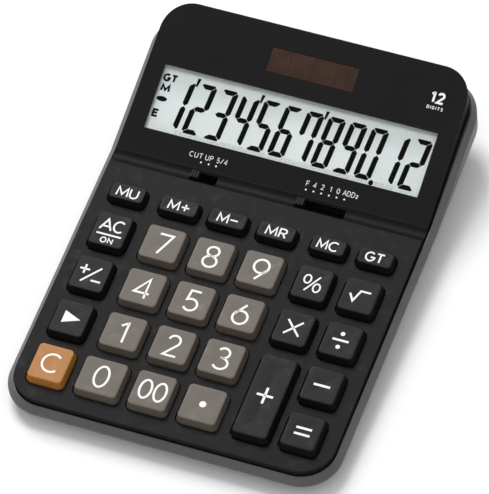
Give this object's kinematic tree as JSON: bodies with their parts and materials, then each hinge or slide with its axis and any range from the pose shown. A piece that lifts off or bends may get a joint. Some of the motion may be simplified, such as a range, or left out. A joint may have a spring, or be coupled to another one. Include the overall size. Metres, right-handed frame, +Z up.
{
  "type": "desk calculator",
  "caption": "Desk calculator with a tilted display, a sprung keypad, slide switches, a solar cell and a battery door underneath.",
  "frame": {"origin": "under the middle of the case, on the surface it rests on", "axes": "+X to the right, +Y to the rear (display end), +Z up"},
  "size_m": [0.129, 0.1756, 0.0356],
  "materials": {
    "case_taupe": "fine satin texture",
    "cover_black": "fine spark-eroded texture",
    "key_taupe": "satin",
    "key_black": "satin",
    "key_orange": "satin",
    "window_clear": "clear, polished",
    "lcd_glass": "pale grey-green with dark segments",
    "frame_white": "plain",
    "connector_rubber": "striped elastomer",
    "solar_window": "dark translucent brown",
    "solar_cell": "dark",
    "board_green": "solder mask",
    "ribbon_film": "thin film",
    "dome_rubber": "silicone",
    "epoxy_black": "cast resin",
    "contact_brass": "plated",
    "steel": "plated",
    "foot_rubber": "matt"
  },
  "bodies": {
    "case": {"bottom_case": "case_taupe", "top_cover": "cover_black", "display_window": "window_clear", "lcd_glass": "lcd_glass", "lcd_frame": "frame_white", "lcd_connector": "connector_rubber", "solar_window": "solar_window", "solar_cell": "solar_cell", "main_board": "board_green", "display_board": "board_green", "ribbon_cable": "ribbon_film", "dome_sheet": "dome_rubber", "chip_blob": "epoxy_black", "rounding_contact": "contact_brass", "decimal_contact": "contact_brass", "battery": "steel", "contact_plus": "contact_brass", "contact_minus": "contact_brass", "foot_fl": "foot_rubber", "foot_fr": "foot_rubber", "foot_rl": "foot_rubber", "foot_rr": "foot_rubber", "screw_fl": "steel", "screw_fr": "steel", "screw_rl": "steel", "screw_rr": "steel"},
    "key_mu": {"key_mu": "key_black"},
    "key_m_plus": {"key_m_plus": "key_black"},
    "key_m_minus": {"key_m_minus": "key_black"},
    "key_mr": {"key_mr": "key_black"},
    "key_mc": {"key_mc": "key_black"},
    "key_gt": {"key_gt": "key_black"},
    "key_ac_on": {"key_ac_on": "key_black"},
    "key_sign": {"key_sign": "key_black"},
    "key_back": {"key_back": "key_black"},
    "key_clear": {"key_clear": "key_orange"},
    "key_7": {"key_7": "key_taupe"},
    "key_8": {"key_8": "key_taupe"},
    "key_9": {"key_9": "key_taupe"},
    "key_4": {"key_4": "key_taupe"},
    "key_5": {"key_5": "key_taupe"},
    "key_6": {"key_6": "key_taupe"},
    "key_1": {"key_1": "key_taupe"},
    "key_2": {"key_2": "key_taupe"},
    "key_3": {"key_3": "key_taupe"},
    "key_0": {"key_0": "key_taupe"},
    "key_00": {"key_00": "key_taupe"},
    "key_point": {"key_point": "key_taupe"},
    "key_percent": {"key_percent": "key_black"},
    "key_root": {"key_root": "key_black"},
    "key_times": {"key_times": "key_black"},
    "key_divide": {"key_divide": "key_black"},
    "key_plus": {"key_plus": "key_black"},
    "key_minus": {"key_minus": "key_black"},
    "key_equals": {"key_equals": "key_black"},
    "rounding_knob": {"rounding_knob": "key_black"},
    "decimal_knob": {"decimal_knob": "key_black"},
    "battery_door": {"battery_door": "case_taupe"}
  },
  "joints": [
    {"name": "key_mu_press", "type": "slide", "parent": "case", "child": "key_mu", "axis": [0, 0.0489, -0.9988], "range_m": [0, 0.0012], "stiffness_N_per_m": 350, "springref_m": -0.0004, "deforming": ["dome_sheet"]},
    {"name": "key_m_plus_press", "type": "slide", "parent": "case", "child": "key_m_plus", "axis": [0, 0.0489, -0.9988], "range_m": [0, 0.0012], "stiffness_N_per_m": 350, "springref_m": -0.0004, "deforming": ["dome_sheet"]},
    {"name": "key_m_minus_press", "type": "slide", "parent": "case", "child": "key_m_minus", "axis": [0, 0.0489, -0.9988], "range_m": [0, 0.0012], "stiffness_N_per_m": 350, "springref_m": -0.0004, "deforming": ["dome_sheet"]},
    {"name": "key_mr_press", "type": "slide", "parent": "case", "child": "key_mr", "axis": [0, 0.0489, -0.9988], "range_m": [0, 0.0012], "stiffness_N_per_m": 350, "springref_m": -0.0004, "deforming": ["dome_sheet"]},
    {"name": "key_mc_press", "type": "slide", "parent": "case", "child": "key_mc", "axis": [0, 0.0489, -0.9988], "range_m": [0, 0.0012], "stiffness_N_per_m": 350, "springref_m": -0.0004, "deforming": ["dome_sheet"]},
    {"name": "key_gt_press", "type": "slide", "parent": "case", "child": "key_gt", "axis": [0, 0.0489, -0.9988], "range_m": [0, 0.0012], "stiffness_N_per_m": 350, "springref_m": -0.0004, "deforming": ["dome_sheet"]},
    {"name": "key_ac_on_press", "type": "slide", "parent": "case", "child": "key_ac_on", "axis": [0, 0.0489, -0.9988], "range_m": [0, 0.0012], "stiffness_N_per_m": 350, "springref_m": -0.0004, "deforming": ["dome_sheet"]},
    {"name": "key_sign_press", "type": "slide", "parent": "case", "child": "key_sign", "axis": [0, 0.0489, -0.9988], "range_m": [0, 0.0012], "stiffness_N_per_m": 350, "springref_m": -0.0004, "deforming": ["dome_sheet"]},
    {"name": "key_back_press", "type": "slide", "parent": "case", "child": "key_back", "axis": [0, 0.0489, -0.9988], "range_m": [0, 0.0012], "stiffness_N_per_m": 350, "springref_m": -0.0004, "deforming": ["dome_sheet"]},
    {"name": "key_clear_press", "type": "slide", "parent": "case", "child": "key_clear", "axis": [0, 0.0489, -0.9988], "range_m": [0, 0.0012], "stiffness_N_per_m": 350, "springref_m": -0.0004, "deforming": ["dome_sheet"]},
    {"name": "key_7_press", "type": "slide", "parent": "case", "child": "key_7", "axis": [0, 0.0489, -0.9988], "range_m": [0, 0.0012], "stiffness_N_per_m": 350, "springref_m": -0.0004, "deforming": ["dome_sheet"]},
    {"name": "key_8_press", "type": "slide", "parent": "case", "child": "key_8", "axis": [0, 0.0489, -0.9988], "range_m": [0, 0.0012], "stiffness_N_per_m": 350, "springref_m": -0.0004, "deforming": ["dome_sheet"]},
    {"name": "key_9_press", "type": "slide", "parent": "case", "child": "key_9", "axis": [0, 0.0489, -0.9988], "range_m": [0, 0.0012], "stiffness_N_per_m": 350, "springref_m": -0.0004, "deforming": ["dome_sheet"]},
    {"name": "key_4_press", "type": "slide", "parent": "case", "child": "key_4", "axis": [0, 0.0489, -0.9988], "range_m": [0, 0.0012], "stiffness_N_per_m": 350, "springref_m": -0.0004, "deforming": ["dome_sheet"]},
    {"name": "key_5_press", "type": "slide", "parent": "case", "child": "key_5", "axis": [0, 0.0489, -0.9988], "range_m": [0, 0.0012], "stiffness_N_per_m": 350, "springref_m": -0.0004, "deforming": ["dome_sheet"]},
    {"name": "key_6_press", "type": "slide", "parent": "case", "child": "key_6", "axis": [0, 0.0489, -0.9988], "range_m": [0, 0.0012], "stiffness_N_per_m": 350, "springref_m": -0.0004, "deforming": ["dome_sheet"]},
    {"name": "key_1_press", "type": "slide", "parent": "case", "child": "key_1", "axis": [0, 0.0489, -0.9988], "range_m": [0, 0.0012], "stiffness_N_per_m": 350, "springref_m": -0.0004, "deforming": ["dome_sheet"]},
    {"name": "key_2_press", "type": "slide", "parent": "case", "child": "key_2", "axis": [0, 0.0489, -0.9988], "range_m": [0, 0.0012], "stiffness_N_per_m": 350, "springref_m": -0.0004, "deforming": ["dome_sheet"]},
    {"name": "key_3_press", "type": "slide", "parent": "case", "child": "key_3", "axis": [0, 0.0489, -0.9988], "range_m": [0, 0.0012], "stiffness_N_per_m": 350, "springref_m": -0.0004, "deforming": ["dome_sheet"]},
    {"name": "key_0_press", "type": "slide", "parent": "case", "child": "key_0", "axis": [0, 0.0489, -0.9988], "range_m": [0, 0.0012], "stiffness_N_per_m": 350, "springref_m": -0.0004, "deforming": ["dome_sheet"]},
    {"name": "key_00_press", "type": "slide", "parent": "case", "child": "key_00", "axis": [0, 0.0489, -0.9988], "range_m": [0, 0.0012], "stiffness_N_per_m": 350, "springref_m": -0.0004, "deforming": ["dome_sheet"]},
    {"name": "key_point_press", "type": "slide", "parent": "case", "child": "key_point", "axis": [0, 0.0489, -0.9988], "range_m": [0, 0.0012], "stiffness_N_per_m": 350, "springref_m": -0.0004, "deforming": ["dome_sheet"]},
    {"name": "key_percent_press", "type": "slide", "parent": "case", "child": "key_percent", "axis": [0, 0.0489, -0.9988], "range_m": [0, 0.0012], "stiffness_N_per_m": 350, "springref_m": -0.0004, "deforming": ["dome_sheet"]},
    {"name": "key_root_press", "type": "slide", "parent": "case", "child": "key_root", "axis": [0, 0.0489, -0.9988], "range_m": [0, 0.0012], "stiffness_N_per_m": 350, "springref_m": -0.0004, "deforming": ["dome_sheet"]},
    {"name": "key_times_press", "type": "slide", "parent": "case", "child": "key_times", "axis": [0, 0.0489, -0.9988], "range_m": [0, 0.0012], "stiffness_N_per_m": 350, "springref_m": -0.0004, "deforming": ["dome_sheet"]},
    {"name": "key_divide_press", "type": "slide", "parent": "case", "child": "key_divide", "axis": [0, 0.0489, -0.9988], "range_m": [0, 0.0012], "stiffness_N_per_m": 350, "springref_m": -0.0004, "deforming": ["dome_sheet"]},
    {"name": "key_plus_press", "type": "slide", "parent": "case", "child": "key_plus", "axis": [0, 0.0489, -0.9988], "range_m": [0, 0.0012], "stiffness_N_per_m": 350, "springref_m": -0.0004, "deforming": ["dome_sheet"]},
    {"name": "key_minus_press", "type": "slide", "parent": "case", "child": "key_minus", "axis": [0, 0.0489, -0.9988], "range_m": [0, 0.0012], "stiffness_N_per_m": 350, "springref_m": -0.0004, "deforming": ["dome_sheet"]},
    {"name": "key_equals_press", "type": "slide", "parent": "case", "child": "key_equals", "axis": [0, 0.0489, -0.9988], "range_m": [0, 0.0012], "stiffness_N_per_m": 350, "springref_m": -0.0004, "deforming": ["dome_sheet"]},
    {"name": "rounding_knob_slide", "type": "slide", "parent": "case", "child": "rounding_knob", "axis": [1, 0, 0], "range_m": [0, 0.006]},
    {"name": "decimal_knob_slide", "type": "slide", "parent": "case", "child": "decimal_knob", "axis": [1, 0, 0], "range_m": [0, 0.015]},
    {"name": "battery_door_slide", "type": "slide", "parent": "case", "child": "battery_door", "axis": [0, 1, 0], "range_m": [0, 0.026]}
  ]
}
